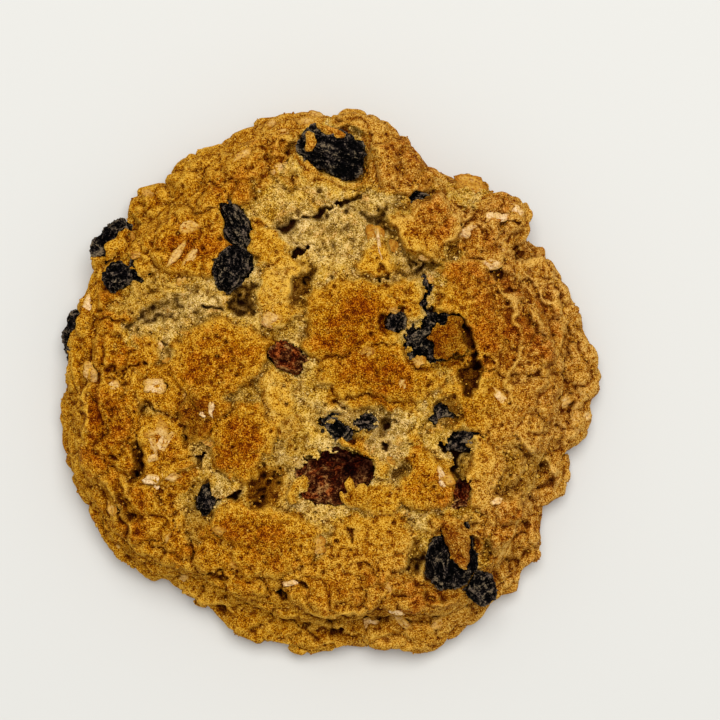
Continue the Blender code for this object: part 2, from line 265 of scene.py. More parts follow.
PLAIN_LEVEL = -0.7  # relief where no plate lies
PLAIN_BROWNING = 0.5
SOCKET_LEVEL = -1.3  # relief over a raisin that shows
RIM_START, RIM_WIDTH = 32, 12  # where painted sheen starts on the crust, from the middle outwards
SIDE_START, SIDE_WIDTH = 44, 5  # where steep dough counts as the side
SHEEN_START, SHEEN_WIDTH = 26, 16  # where the crust starts to look drier
PEBBLE_LEVEL = 0.75  # about the mean height of pebbles
PITS = 260  # small round holes scattered over the top
PIT_REACH = 49  # how far from the middle they lie


# Noise and shapes used by the fields. Each use has a seed of its own.

TABLE_SIZE = 64  # random values along each side of a noise's table, a power of two


def noise(coords, size, seed):
    """Smooth noise from -1 to 1 with features about as wide as size, in as many dimensions as coords."""
    table = np.random.default_rng(seed).uniform(-1, 1, (TABLE_SIZE,) * len(coords)).astype(np.float32)
    cells, shares = [], []
    for values in coords:
        values = np.asarray(values, np.float32) / size
        low = np.floor(values)
        share = values - low
        cells.append(low.astype(np.int32))
        shares.append(share * share * (3 - 2 * share))
    total = 0
    for corner in itertools.product((0, 1), repeat=len(coords)):
        weight = 1
        for share, upper in zip(shares, corner):
            weight = weight * (share if upper else 1 - share)
        total = total + weight * table[tuple((c + u) & (TABLE_SIZE - 1) for c, u in zip(cells, corner))]
    return total


def layered_noise(coords, size, seed, layers=3):
    """Noise with finer and finer layers, each half as wide and half as strong."""
    parts = [noise(coords, size / 2**k, seed + k) / 2**k for k in range(layers)]
    return sum(parts) / (2 - 2 ** (1 - layers))


def pebbles(coords, size, seed):
    """Rounded grains packed side by side: 1 at a grain's middle and 0 in the grooves."""
    count = len(coords)
    table = np.random.default_rng(seed).uniform(0.1, 0.9, (TABLE_SIZE,) * count + (count,)).astype(np.float32)
    scaled = [np.asarray(values, np.float32) / size for values in coords]
    cells = [np.floor(values).astype(np.int32) for values in scaled]
    first = np.full(np.shape(scaled[0]), 9.0, np.float32)
    second = first.copy()
    for steps in itertools.product((-1, 0, 1), repeat=count):
        jitter = table[tuple((cell + step) & (TABLE_SIZE - 1) for cell, step in zip(cells, steps))]
        away = 0
        for k, step in enumerate(steps):
            away = away + (cells[k] + step + jitter[..., k] - scaled[k]) ** 2
        away = np.sqrt(away)
        second = np.minimum(second, np.maximum(first, away))
        first = np.minimum(first, away)
    groove = np.clip((second - first) / 0.5, 0, 1)
    return np.sqrt(groove * (2 - groove))


def smooth(value):
    """0 below 0, 1 above 1, and a smooth step between."""
    value = np.clip(value, 0, 1)
    return value * value * (3 - 2 * value)


def rounded(value):
    """A quarter-round shoulder: 0 below 0, steep at first, and flat at 1."""
    value = np.clip(value, 0, 1)
    return np.sqrt(value * (2 - value))


def turned(x, y, turn):
    """x and y measured along and across a direction at that turn."""
    cosine, sine = math.cos(math.radians(turn)), math.sin(math.radians(turn))
    return x * cosine + y * sine, y * cosine - x * sine


def inside_oval(x, y, cx, cy, length, width, turn):
    """How deep a point is inside an oval, in millimetres, less than 0 outside."""
    along, across = turned(x - cx, y - cy, turn)
    return (1 - np.sqrt((along / length) ** 2 + (across / width) ** 2)) * min(length, width)


def line_distance(x, y, points):
    """Distance to a line of straight stretches, and which side of it: above 0 on its left."""
    best = np.full(np.shape(x), 99.0, np.float32)
    side = np.zeros(np.shape(x), np.float32)
    for (ax, ay), (bx, by) in zip(points, points[1:]):
        dx, dy = bx - ax, by - ay
        t = np.clip(((x - ax) * dx + (y - ay) * dy) / (dx * dx + dy * dy), 0, 1)
        ex, ey = x - ax - t * dx, y - ay - t * dy
        away = np.hypot(ex, ey)
        nearer = away < best
        side = np.where(nearer, np.sign(dx * ey - dy * ex), side)
        best = np.where(nearer, away, best)
    return best, side


def jagged(x, y):
    """x and y pushed about, so that every edge drawn with them comes out torn and crumbly."""
    pushes = []
    for seed in (11, 21):
        coarse = 1.5 * noise((x, y), 5.5, seed) + 0.9 * noise((x, y), 2.4, seed + 1)
        pushes.append(coarse + 0.55 * noise((x, y), 1.1, seed + 2))
    return x + pushes[0], y + pushes[1]


class Top:
    """The top at any x and y: its relief over the plain dough, and how brown, pale and shaded it is."""

    def __init__(self, x, y):
        self.x, self.y = x, y
        self.torn = jagged(x, y)
        self.fray = 1.3 * self.noise(2.6, 36) + 0.8 * self.noise(1.0, 37)
        self.relief = np.full(np.shape(x), PLAIN_LEVEL, np.float32)
        self.browning = np.full(np.shape(x), PLAIN_BROWNING, np.float32)
        self.pale = np.zeros(np.shape(x), np.float32)
        self.shade = np.zeros(np.shape(x), np.float32)
        inside, seam = self.raise_plates()
        self.sink_hollows()
        self.bake_lumps(inside, seam)
        self.clear_raisins()
        self.drop_ledges()
        self.cut_cracks()
        self.prick_pits()

    def noise(self, size, seed):
        return noise((self.x, self.y), size, seed)

    def raise_plates(self):
        """Plates with round shoulders. Gives how deep a point is in its plate, and the seams."""
        best = np.full(np.shape(self.x), -9.0, np.float32)
        second = best.copy()
        for cx, cy, length, width, turn, rise, brown in CRUSTS:
            depth = inside_oval(*self.torn, cx, cy, length, width, turn)
            shoulder = (1.05 * rise + 0.5) * rounded((depth + 0.3) / 2.2)
            self.relief = np.maximum(self.relief, shoulder + PLAIN_LEVEL)
            second = np.maximum(second, np.minimum(best, depth))
            best = np.maximum(best, depth)
            fade = min(4.0, 0.7 * min(length, width))
            self.browning += (brown - self.browning) * smooth((depth + 0.5) / fade)
        seam = np.exp(-(((best - second) / 0.4) ** 2)) * smooth(best + 0.5)
        return best, seam

    def sink_hollows(self):
        for cx, cy, length, width, turn, fall, paleness, shading in HOLLOWS:
            depth = inside_oval(*self.torn, cx, cy, length, width, turn)
            share = smooth((depth + 0.5) / 1.3)
            self.relief -= fall * share
            self.pale = np.maximum(self.pale, paleness * smooth((depth + 0.8 + self.fray) / 1.4))
            self.shade = np.maximum(self.shade, shading * share)

    def bake_lumps(self, inside, seam):
        """Lumps, grain, open seams and small holes. Valleys between plates stay pale."""
        coarse = pebbles(self.torn, 6.6, 31) - PEBBLE_LEVEL
        middle = pebbles(self.torn, 3.1, 32) - PEBBLE_LEVEL
        fine = pebbles((self.x, self.y), 1.4, 35) - PEBBLE_LEVEL
        rim = smooth((np.hypot(self.x, self.y) - RIM_START) / RIM_WIDTH)
        valley = (1 - smooth((inside + 0.9 + 0.6 * self.fray) / 1.4)) * (1 - rim)
        self.pale = np.maximum(self.pale, 0.75 * valley)
        crust = smooth((inside + 0.4) / 1.8) * (1 - rim) * (1 - self.pale)
        lumpy = smooth(0.5 + 0.9 * self.noise(8.0, 38)) * (1 - 0.5 * crust - 0.5 * rim)
        self.relief -= 1.5 * seam * smooth(0.3 + 1.4 * self.noise(6.0, 47))
        # Large lumps are strongest at the rim, small ones on lumpy stretches, and plates stay smoother.
        self.relief += (1.1 + 0.9 * rim - 0.45 * crust) * coarse + (0.15 + 0.6 * lumpy) * middle
        self.relief += (0.3 - 0.15 * lumpy) * (1 - 0.6 * crust) * fine + 0.6 * self.noise(9.0, 33)
        grain = (0.32 - 0.18 * crust) * self.noise(2.2, 39)
        self.relief += grain + (0.25 - 0.1 * crust) * self.noise(1.1, 40)
        self.relief += 0.6 * self.pale * layered_noise((self.x, self.y), 2.0, 43)
        holes = smooth((layered_noise((self.x, self.y), 1.5, 42, 2) - 0.38) / 0.25)
        self.relief -= (0.3 + 0.1 * self.pale) * holes
        self.browning += 0.35 * coarse + 0.2 * middle - 0.1 * seam

    def clear_raisins(self):
        """Lowers the crust over each raisin that shows."""
        for oval in footprints():
            share = smooth((inside_oval(*self.torn, *oval) + 1.0) / 1.3)
            self.relief += (np.minimum(self.relief, SOCKET_LEVEL) - self.relief) * share

    def drop_ledges(self):
        """Steps down outside each ledge, with a pale lip here and there along it."""
        x = self.torn[0] + 1.6 * self.noise(7.0, 59)
        y = self.torn[1] + 1.6 * self.noise(7.0, 60)
        coming = smooth(0.5 + 1.1 * self.noise(8.0, 58))
        for fall, *points in LEDGES:
            away, side = line_distance(x, y, points)
            below = np.where(side < 0, away, -away)
            drop = smooth((below + 0.3) / 0.6) * (1 - smooth((below - 1.5) / 4.0)) * (away < 8)
            self.relief -= (0.25 + coming) * fall * drop
            lip = np.exp(-(((below + 0.7) / 0.8) ** 2)) * coming
            self.relief += 0.5 * lip
            self.browning -= 0.35 * lip

    def cut_cracks(self):
        x = self.torn[0] + 0.5 * self.noise(1.0, 48) + 0.25 * self.noise(0.5, 50)
        y = self.torn[1] + 0.5 * self.noise(1.0, 49) + 0.25 * self.noise(0.5, 57)
        waist = self.noise(1.5, 45)
        broken = 0.95 + 0.6 * self.noise(2.4, 46)
        for width, fall, *points in CRACKS:
            away, _ = line_distance(x, y, points)
            half = width * (0.42 + 0.35 * waist)
            self.relief -= fall * broken * smooth((half + 0.25 - away) / 0.5)

    def prick_pits(self):
        for px, py, radius, fall in pits():
            away = np.hypot(self.x - px, self.y - py)
            deeper = self.relief - fall * smooth((radius + 0.2 - away) / 0.45)
            self.relief = np.where(away < 3 * radius, deeper, self.relief)


def footprints():
    """The ovals that the raisins in sight cover, seen from above."""
    for name in RAISINS:
        if name in BURIED:
            continue
        points, _ = mesh_arrays(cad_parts[name])
        flat = points[:, :2] - points[:, :2].mean(0)
        _, _, axes = np.linalg.svd(flat, full_matrices=False)
        length, width = np.abs(flat @ axes.T).max(0)
        turn = math.degrees(math.atan2(axes[0][1], axes[0][0]))
        yield *points[:, :2].mean(0), length, width, turn


def pits():
    """Places, radii and depths of the small holes of the crumb."""
    random = np.random.default_rng(7)
    for _ in range(PITS):
        angle, share = random.uniform(0, math.tau), random.uniform(0, 1)
        away = PIT_REACH * math.sqrt(share)
        radius = random.uniform(0.2, 0.55)
        yield away * math.cos(angle), away * math.sin(angle), radius, random.uniform(0.5, 1.6)


# Meshes as arrays.


def welded_form(obj):
    """An object's mesh to edit, with its seams welded."""
    form = bmesh.new()
    form.from_mesh(obj.data)
    bmesh.ops.remove_doubles(form, verts=form.verts, dist=WELD * MM)
    return form


def arrays_of(form):
    """Frees a form and gives its points in millimetres and its triangles."""
    bmesh.ops.triangulate(form, faces=form.faces)
    form.verts.index_update()
    points = np.array([v.co for v in form.verts], np.float32) / MM
    triangles = np.array([[v.index for v in f.verts] for f in form.faces], np.uint32)
    form.free()
    return points, triangles


def mesh_arrays(obj):
    return arrays_of(welded_form(obj))


def new_object(name, data):
    made = bpy.data.objects.new(name, data)
    bpy.context.scene.collection.objects.link(made)
    return made


def object_from(name, form):
    """An object made from a form, which is then freed."""
    mesh = bpy.data.meshes.new(name)
    form.to_mesh(mesh)
    form.free()
    return new_object(name, mesh)


def mesh_from(name, points, faces):
    """A mesh object from points in millimetres and faces that all have as many corners."""
    mesh = bpy.data.meshes.new(name)
    mesh.vertices.add(len(points))
    move_points(mesh, points)
    mesh.loops.add(faces.size)
    mesh.loops.foreach_set("vertex_index", faces.astype(np.int32).ravel())
    mesh.polygons.add(len(faces))
    mesh.polygons.foreach_set("loop_start", np.arange(0, faces.size, faces.shape[1], dtype=np.int32))
    mesh.update(calc_edges=True)
    mesh.validate()
    mesh.shade_smooth()
    return new_object(name, mesh)


def apply_modifiers(obj):
    """Replaces an object's mesh with the one its modifiers make."""
    depsgraph = bpy.context.evaluated_depsgraph_get()
    shaped = bpy.data.meshes.new_from_object(obj.evaluated_get(depsgraph))
    obj.modifiers.clear()
    obj.data = shaped


def read(items, key, width=1, kind=np.float32):
    """The values that items hold under a key, one row for each item."""
    values = np.zeros(len(items) * width, kind)
    items.foreach_get(key, values)
    return values.reshape(-1, width)


def points_of(mesh):
    return read(mesh.vertices, "co", 3) / MM


def normals_of(mesh):
    return read(mesh.vertices, "normal", 3)


def edge_ends(mesh):
    return read(mesh.edges, "vertices", 2, np.int32).T


def move_points(mesh, points):
    mesh.vertices.foreach_set("co", (points * MM).astype(np.float32).ravel())


def store(mesh, **attributes):
    """Keeps values from 0 to 1 for each point, under each name."""
    for name, values in attributes.items():
        layer = mesh.attributes.new(name, "FLOAT", "POINT")
        layer.data.foreach_set("value", np.asarray(np.clip(values, 0, 1), np.float32))


def bulge_of(mesh):
    """How far each point stands out from its neighbours, in millimetres."""
    a, b = edge_ends(mesh)
    points, normals = points_of(mesh), normals_of(mesh)
    ends = np.r_[a, b]
    count = np.bincount(ends, minlength=len(points)).astype(np.float32)
    spread = points
    for _ in range(3):
        total = np.zeros_like(points)
        for axis in range(3):
            weights = np.r_[spread[b, axis], spread[a, axis]]
            pulled = np.bincount(ends, weights=weights, minlength=len(points))
            total[:, axis] = pulled / np.maximum(count, 1)
        spread = total
    return np.einsum("ij,ij->i", points - spread, normals)


def drop_strays(obj):
    """Drops stray bits that no longer touch the body, but not the dough that lies over raisins."""
    mesh = obj.data
    a, b = edge_ends(mesh)
    label = np.arange(len(mesh.vertices))
    while True:
        least = np.minimum(label[a], label[b])
        fresh = label.copy()
        np.minimum.at(fresh, a, least)
        np.minimum.at(fresh, b, least)
        fresh = fresh[fresh]
        if np.array_equal(fresh, label):
            break
        label = fresh
    size = np.bincount(label)
    form = bmesh.new()
    form.from_mesh(mesh)
    form.verts.ensure_lookup_table()
    stray = [form.verts[i] for i in np.nonzero(size[label] < STRAY_POINTS)[0]]
    bmesh.ops.delete(form, geom=stray, context="VERTS")
    form.to_mesh(mesh)
    form.free()


# The dough as a distance field: less than 0 inside it.


def plugged_dough():
    """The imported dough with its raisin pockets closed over, as points and triangles."""
    form = welded_form(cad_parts["dough"])
    inner = set()
    for name in RAISINS:
        centre, axes, half = oval_of(name)
        for vert in form.verts:
            local = axes @ (np.array(vert.co) / MM - centre) / (half + SOCKET_REACH)
            if local @ local < 1:
                inner.add(vert)
    doomed = [face for face in form.faces if all(vert in inner for vert in face.verts)]
    bmesh.ops.delete(form, geom=doomed, context="FACES")
    rims = [edge for edge in form.edges if edge.is_boundary]
    bmesh.ops.holes_fill(form, edges=rims, sides=0)
    loose = [vert for vert in form.verts if not vert.link_faces]
    bmesh.ops.delete(form, geom=loose, context="VERTS")
    return arrays_of(form)


def oval_of(name):
    """Centre, axes and half sizes of the oval that a packed raisin fills."""
    points, _ = mesh_arrays(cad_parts[name])
    centre = (points.min(0) + points.max(0)) / 2
    _, _, axes = np.linalg.svd(points - points.mean(0), full_matrices=False)
    half = np.abs((points - centre) @ axes.T).max(0)
    return centre, axes, half


def distance_field(points, triangles, low, shape, band):
    """Distances to a closed mesh at every voxel, less than 0 inside it, kept within the band."""
    grid = openvdb.FloatGrid.createLevelSetFromPolygons(
        np.ascontiguousarray(points / VOXEL, np.float32),
        triangles=triangles,
        transform=openvdb.createLinearTransform(voxelSize=1.0),
        halfWidth=band / VOXEL,
    )
    field = np.zeros(shape, np.float32)
    grid.copyToArray(field, ijk=tuple(int(v) for v in low))
    return field * VOXEL


def soft_min(a, b, blend):
    """The smaller of two values, blended where they are close."""
    share = np.clip(0.5 + 0.5 * (b - a) / blend, 0, 1)
    return b + (a - b) * share - blend * share * (1 - share)


def blurred(values, size):
    """A grid of values averaged over about size, in millimetres."""
    waves = np.hypot(*np.meshgrid(*[np.fft.fftfreq(n) for n in values.shape], indexing="ij"))
    spread = np.exp(-2 * (math.pi * waves * size / VOXEL) ** 2)
    return np.fft.ifft2(np.fft.fft2(values) * spread).real


def sample(field, low, points):
    """The field's value at points, in millimetres, read between voxels."""
    place = points / VOXEL - low
    cell = np.clip(np.floor(place).astype(int), 0, np.array(field.shape) - 2)
    share = place - cell
    total = 0
    for corner in itertools.product((0, 1), repeat=field.ndim):
        weight = np.prod(np.where(corner, share, 1 - share), axis=1)
        total = total + weight * field[tuple((cell + corner).T)]
    return total


def block_around(middle, reach, low, shape):
    """The block of voxels around a place, and the places of its voxels."""
    block = []
    for centre, first, count in zip(middle, low, shape):
        start = max(int((centre - reach) / VOXEL) - first, 0)
        end = min(int((centre + reach) / VOXEL) - first, count)
        block.append(slice(start, end))
    lines = [(np.arange(s.start, s.stop) + first) * VOXEL for s, first in zip(block, low)]
    return tuple(block), np.meshgrid(*lines, indexing="ij")


def add_caps(field, filled, low):
    """Adds the dough that lies over raisins, each within its own block of voxels."""
    for cx, cy, over, length, width, height, turn in CAPS:
        column = filled[int(round(cx / VOXEL)) - low[0], int(round(cy / VOXEL)) - low[1]]
        crust = (len(column) - 1 - np.argmax(column[::-1] < 0) + low[2]) * VOXEL
        reach = max(length, width) + 2.5
        block, (x, y, z) = block_around((cx, cy, crust + over), reach, low, field.shape)
        jx, jy = jagged(x, y)
        wx = x + 0.45 * (jx - x) + 0.5 * noise((x, y), 1.7, 63)
        wy = y + 0.45 * (jy - y) + 0.5 * noise((x, y), 1.7, 64)
        along, across = turned(wx - cx, wy - cy, turn)
        up = (z - crust - over) / height
        away = np.sqrt((along / length) ** 2 + (across / width) ** 2 + up**2)
        lump = (away - 1) * min(length, width, height)
        lump += 0.45 * noise((x, y, z), 2.0, 41) + 0.3 * noise((x, y, z), 0.9, 44)
        field[block] = soft_min(field[block], lump, 0.5)


def side_relief(x, y, z):
    """Relief of the side walls: baked lumps and flat layers, fading out at the base."""
    layers = noise((x * 0.22, y * 0.22, z + 1.5 * noise((x, y), 14, 51)), 1.5, 52)
    wx, wy = x + 1.6 * noise((x, y, z), 4.0, 65), y + 1.6 * noise((x, y, z), 4.0, 66)
    coarse = pebbles((wx, wy, z * 1.4), 6.4, 53) - 0.7
    relief = 0.6 * layers + 1.3 * coarse + 0.6 * noise((x, y, z), 5.0, 67) + 0.45 * noise((x, y, z), 2.4, 54)
    relief *= smooth((z - 0.2) / 1.5)
    for cx, cy, reach, fall in SIDE_DENTS:
        relief -= fall * np.exp(-((x - cx) ** 2 + (y - cy) ** 2) / reach**2)
    return relief


def raisin_field(raisins, low, shape):
    """Distances to the wrinkled raisins, which press their own sockets into the dough."""
    points, triangles, count = [], [], 0
    for raisin in raisins:
        own, corners = mesh_arrays(raisin)
        points.append(own)
        triangles.append(corners + count)
        count += len(own)
    triangles = np.concatenate(triangles).astype(np.uint32)
    return distance_field(np.concatenate(points), triangles, low, shape, SOCKET_BAND)


def surface_shift(plain, relief, x, y, z):
    """How far the plain surface moves out, and the voxels that it moves through."""
    near = np.nonzero(np.abs(plain) < BAND * 0.99)
    px, py, pz = (line[cells].astype(np.float32) for line, cells in zip((x, y, z), near))
    upward = np.gradient(plain, VOXEL, axis=2)[near]
    topness = smooth((upward - 0.3) / 0.5)
    side = np.zeros_like(px)
    walls = (topness < 0.99) & (pz > 0) & (np.abs(plain[near]) < SIDE_BAND)
    side[walls] = side_relief(px[walls], py[walls], pz[walls])
    rough = 0.2 * noise((px, py, pz), 1.5, 55) + 0.1 * (0.6 + topness) * noise((px, py, pz), 0.8, 56)
    shift = topness * relief[near[:2]] + (1 - topness) * side + rough * smooth(pz / 0.8)
    return np.maximum(shift, 0.4 - BAND), near


def dough_field(raisins):
    """The dough's distance field with its relief, the plain one, how far the top stands out, which is painted
    as light and shade, and the lowest voxel."""
    points, triangles = plugged_dough()
    low = np.floor((points.min(0) - MARGIN) / VOXEL).astype(int)
    high = np.ceil((points.max(0) + MARGIN) / VOXEL).astype(int)
    shape = tuple(high - low + 1)
    plain = distance_field(points, triangles, low, shape, BAND)
    x, y, z = [(np.arange(n) + first) * VOXEL for n, first in zip(shape, low)]
    relief = Top(*np.meshgrid(x, y, indexing="ij")).relief
    # How far the top stands out, for painted light and shade.
    stand = relief - blurred(relief, STAND_SIZE)
    shift, near = surface_shift(plain, relief, x, y, z)
    field = plain.copy()
    field[near] -= shift
    pressed = raisin_field(raisins, low, shape)
    near = np.nonzero(pressed < SOCKET_BAND - 0.2)
    grain = [line[cells].astype(np.float32) for line, cells in zip((x, y, z), near)]
    gap = 0.1 + 0.85 * noise(grain, 2.4, 61) + 0.55 * noise(grain, 1.0, 62)
    field[near] = np.maximum(field[near], gap - pressed[near])
    add_caps(field, np.minimum(plain, pressed), low)
    field = np.maximum(field, -z[None, None, :].astype(np.float32))
    return field, plain, stand, low


def dough_mesh(field, low):
    grid = openvdb.FloatGrid(BAND)
    grid.copyFromArray(field)
    points, _, quads = grid.convertToPolygons(isovalue=0.0, adaptivity=0.0)
    dough = mesh_from("crumbly_dough", (points + low) * VOXEL, quads)
    drop_strays(dough)
    thinned = dough.modifiers.new("Thin mesh", "DECIMATE")
    thinned.ratio = min(1.0, DOUGH_TRIANGLES / (2 * len(dough.data.polygons)))
    apply_modifiers(dough)
    dough.data.shade_smooth()
    return dough


def make_dough(raisins):
    """The dough, with the values at each point that its material reads."""
    field, plain, stand, low = dough_field(raisins)
    dough = dough_mesh(field, low)
    mesh = dough.data
    points, normals, bulge = points_of(mesh), normals_of(mesh), bulge_of(mesh)
    x, y, z = points.T
    top = Top(x, y)
    height = sample(plain, low, points)
    away = np.hypot(x, y)
    sides = smooth((0.35 - normals[:, 2]) / 0.6) * smooth((away - SIDE_START) / SIDE_WIDTH)
    browning = top.browning * (1 - sides) + (0.56 + 0.3 * noise((x, y), 9, 70)) * sides
    browning += 0.16 * layered_noise((x, y, z), 9, 71) + 0.10 * layered_noise((x, y, z), 3, 75)
    browning += 0.5 * np.clip(bulge, -0.25, 0.25)
    pale = top.pale * (1 - sides) * smooth(0.9 - 0.5 * height + 0.3 * noise((x, y), 1.2, 79))
    # What stands out on upward faces gets painted light, and what sinks gets painted shade.
    lift = sample(stand, low[:2], points[:, :2]) * smooth(normals[:, 2] * 1.6 - 0.2)
    # A painted sheen, paler and greyer, on the rim and strongest to the east.
    dry = 0.3 * smooth((away - SHEEN_START) / SHEEN_WIDTH) * smooth(0.4 + (0.9 * x + 0.2 * y) / 60)
    store(
        mesh,
        browning=browning,
        paleness=pale + 0.25 * noise((x, y), 2.0, 80) * pale,
        shade=top.shade * (1 - sides),
        # Painted shade deep below the plain surface, in cracks and holes.
        depth=smooth((-1.7 - height) / 2.0),
        # How far a point stands out, for painted light and shade.
        stand=0.5 + lift / 3.0,
        # The painted sheen, a little uneven.
        dryness=dry + 0.3 * noise((x, y, z), 3.0, 81) * dry,
        # Bulge: the material paints light on ridges and shade in grooves; browning follows it too.
        bulge=0.5 + bulge * 2.2,
    )
    return dough


# Raisins.

# How a raisin lies once baked in: moved east, north and down, then how much longer and wider it is.
RAISIN_FITS = {
    "raisin_northwest_edge": (-0.5, 0, 0, 1.05, 0.9),
    "raisin_northwest_neck": (0, 0.2, 0, 1.12, 1.3),
    "raisin_northwest_drop": (0, 0.4, 0, 1.1, 1.05),
    "raisin_southeast": (0.4, 1, 0, 1.12, 1.05),
    "raisin_capped": (-1.1, 0.2, 0, 1.05, 1),
    "raisin_north": (-0.6, 0.4, -0.1, 0.98, 0.92),
    "raisin_west_upper": (0.2, 0.2, 0.2, 0.8, 0.75),
    "raisin_west_slit": (0.2, 0, 0.9, 0.9, 0.7),
    "raisin_valley_west": (0, -0.4, 1.2, 1.1, 0.8),
    "raisin_valley_middle": (-0.8, 0, 1, 1, 0.85),
    "raisin_valley_east": (-0.3, 0, 1.3, 0.9, 0.7),
    "raisin_east_slit": (0, 0, 0.5, 1.1, 0.8),
    "raisin_southwest_slit": (0, 0, 0.8, 1.2, 0.6),
    "raisin_crack_north": (0, -0.6, 0.7, 1.1, 0.7),
    "raisin_southeast_rim": (-0.6, 0.5, 0.2, 0.95, 0.95),
    "raisin_red": (-0.2, -0.2, 0.1, 1, 1.05),
    "raisin_middle": (0.2, 0.3, -0.2, 1.06, 1.3),
    "raisin_northeast": (0, 0, 0.6, 0.9, 0.9),
    "raisin_dot": (0, 0, 0.2, 1.1, 0.9),
}
BURIED = [name for name, (_, _, drop, _, _) in RAISIN_FITS.items() if drop > 0.4]
RAISIN_SQUASH = 0.62  # the height left to the top half of a raisin, baked down into the crust


def make_raisin(name, number):
    """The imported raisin, made fine and wrinkled along its length."""
    raisin = object_from("wrinkled_" + name, welded_form(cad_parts[name]))
    finer = raisin.modifiers.new("Finer", "SUBSURF")
    finer.levels = finer.render_levels = 3
    apply_modifiers(raisin)
    mesh = raisin.data
    points, normals = points_of(mesh), normals_of(mesh)
    centre, axes, _ = oval_of(name)
    east, north, drop, longer, wider = RAISIN_FITS.get(name, (0, 0, 0, 1, 1))
    local = (points - centre) @ axes.T
    centre = centre + (east, north, -drop)
    points = (local * (longer, wider, 1)) @ axes + centre
    bend = 1.1 * noise(local.T, 3.6, 100 + number)
    u, v, w = local[:, 0] * 0.45, local[:, 1] + bend, local[:, 2] - bend
    folds = np.clip(1 - 2.4 * np.abs(noise((u, v, w), 1.3, 200 + number)), 0, 1)
    creases = np.clip(1 - 2.2 * np.abs(noise((u * 1.8, v, w), 0.65, 300 + number)), 0, 1)
    dents = noise(local.T, 3.0, 400 + number)
    points = points + normals * (0.8 * folds + 0.4 * creases + 0.8 * dents - 0.45)[:, None]
    above = points[:, 2] > centre[2]
    points[above, 2] = centre[2] + (points[above, 2] - centre[2]) * RAISIN_SQUASH
    move_points(mesh, points)
    mesh.update()
    mesh.shade_smooth()
    northward = 0.22 * ((points - centre) @ np.array([0.45, 0.9, 0]))
    scorch = smooth(0.2 + northward + 0.5 * noise(local.T, 2.6, 500 + number))
    # The crests are marked for painted glints.
    store(mesh, crest=0.6 * folds**1.5 + 0.6 * creases**1.5, scorch=scorch)
    return raisin


# Oat flakes and crumbs.

# Oat flakes that show: x, y, half length, half width, turn, tilt, paleness from 0 to 1.
FLAKES = (
    (-47.6, 14.6, 2.4, 1.7, 70, 25, 0.95),
    (-30.2, 24.9, 2.8, 0.75, 56, 8, 0.6),
    (-27.3, 24.4, 2.6, 0.75, 58, 8, 0.6),
    (-28, 30.3, 2, 1.3, 0, 5, 0.45),
    (-10, 41.6, 1.8, 1.3, 20, 8, 0.7),
    (-5, 51, 2, 1.4, 10, 15, 0.4),
    (1.5, 40.6, 2.8, 1.2, -8, 10, 0.5),
    (-47.4, 1.4, 1.4, 2.2, 20, 20, 0.6),
    (-34.4, -0.8, 2.2, 1.6, 15, 5, 0.7),
    (-34, 6.8, 1.2, 0.9, 0, 5, 0.7),
    (-12, 12, 2.1, 1.6, 40, 5, 0.6),
    (-42.5, -0.7, 1.1, 1, 0, 5, 0.6),
    (-28.5, -3, 1.4, 1.6, 30, 12, 0.4),
    (-33.4, -11.6, 2.4, 3.4, -8, 8, 0.5),
    (-34.6, -11.8, 2.3, 0.85, 104, 8, 0.65),
    (-33.2, -11.2, 2.6, 1, 84, 8, 0.75),
    (-31.8, -11.4, 2.1, 0.85, 62, 8, 0.6),
    (-34.8, -14.8, 1.2, 0.8, 20, 8, 0.7),
    (-35.2, -19.2, 2, 1, 5, 8, 0.95),
    (-31.6, -18.4, 1.9, 1.1, -5, 8, 0.6),
    (-34.2, -20.6, 0.8, 0.5, 30, 10, 1),
    (-23.2, -5.8, 0.6, 2.1, -5, 20, 0.9),
    (-24.9, -6.3, 0.7, 0.6, 0, 5, 1),
    (-8, -39.4, 1.8, 0.7, 5, 10, 0.8),
    (6.5, -48.4, 3.1, 1.1, 4, 20, 0.75),
    (13.2, -47.2, 3.2, 1, -48, 15, 0.55),
    (12.6, -45.4, 1.6, 0.8, -20, 10, 0.9),
    (21.8, -19.6, 0.9, 2.6, 12, 15, 0.95),
    (32.6, -3, 2.6, 1, -38, 8, 0.7),
    (32.5, -23.4, 1.2, 0.7, 25, 10, 0.8),
    (46.5, -4.2, 1.5, 1.2, 30, 15, 0.6),
    (50.6, -7.2, 1.6, 1.1, 40, 25, 0.6),
    (48.8, -10, 2, 0.9, 60, 25, 0.6),
    (18.2, 24.2, 1.2, 0.9, 20, 5, 0.6),
    (31.4, 22.9, 2, 1.1, -12, 5, 0.75),
    (27, 29.4, 2, 1.2, 20, 10, 0.75),
    (33, 32.2, 2.2, 0.9, 12, 8, 0.9),
    (36.4, 33.8, 1.6, 1.1, -30, 15, 0.85),
    (31.3, 32.5, 0.9, 0.8, 0, 5, 0.9),
    (8.2, 26.6, 1.1, 3.6, 14, 12, 0.1),
    (9.4, 26.2, 0.35, 2.8, 8, 10, 0.9),
    (27.6, 39.2, 3, 1.6, -15, 15, 0.3),
    (-17.5, 44.2, 2.2, 1.2, 25, 15, 0.4),
    (33.4, 26.4, 2.4, 1.4, -60, 15, 0.35),
)
LOOSE_FLAKES = 30  # more of them, on the level parts of the top and the rim
FLAKE_SWELL = 1.2  # how much larger a flake is made than the part of it that shows
FLAKE_RINGS = 6
FLAKE_SECTORS = 22
FLAKE_CORNERS = 12
CRUMBS = 7000


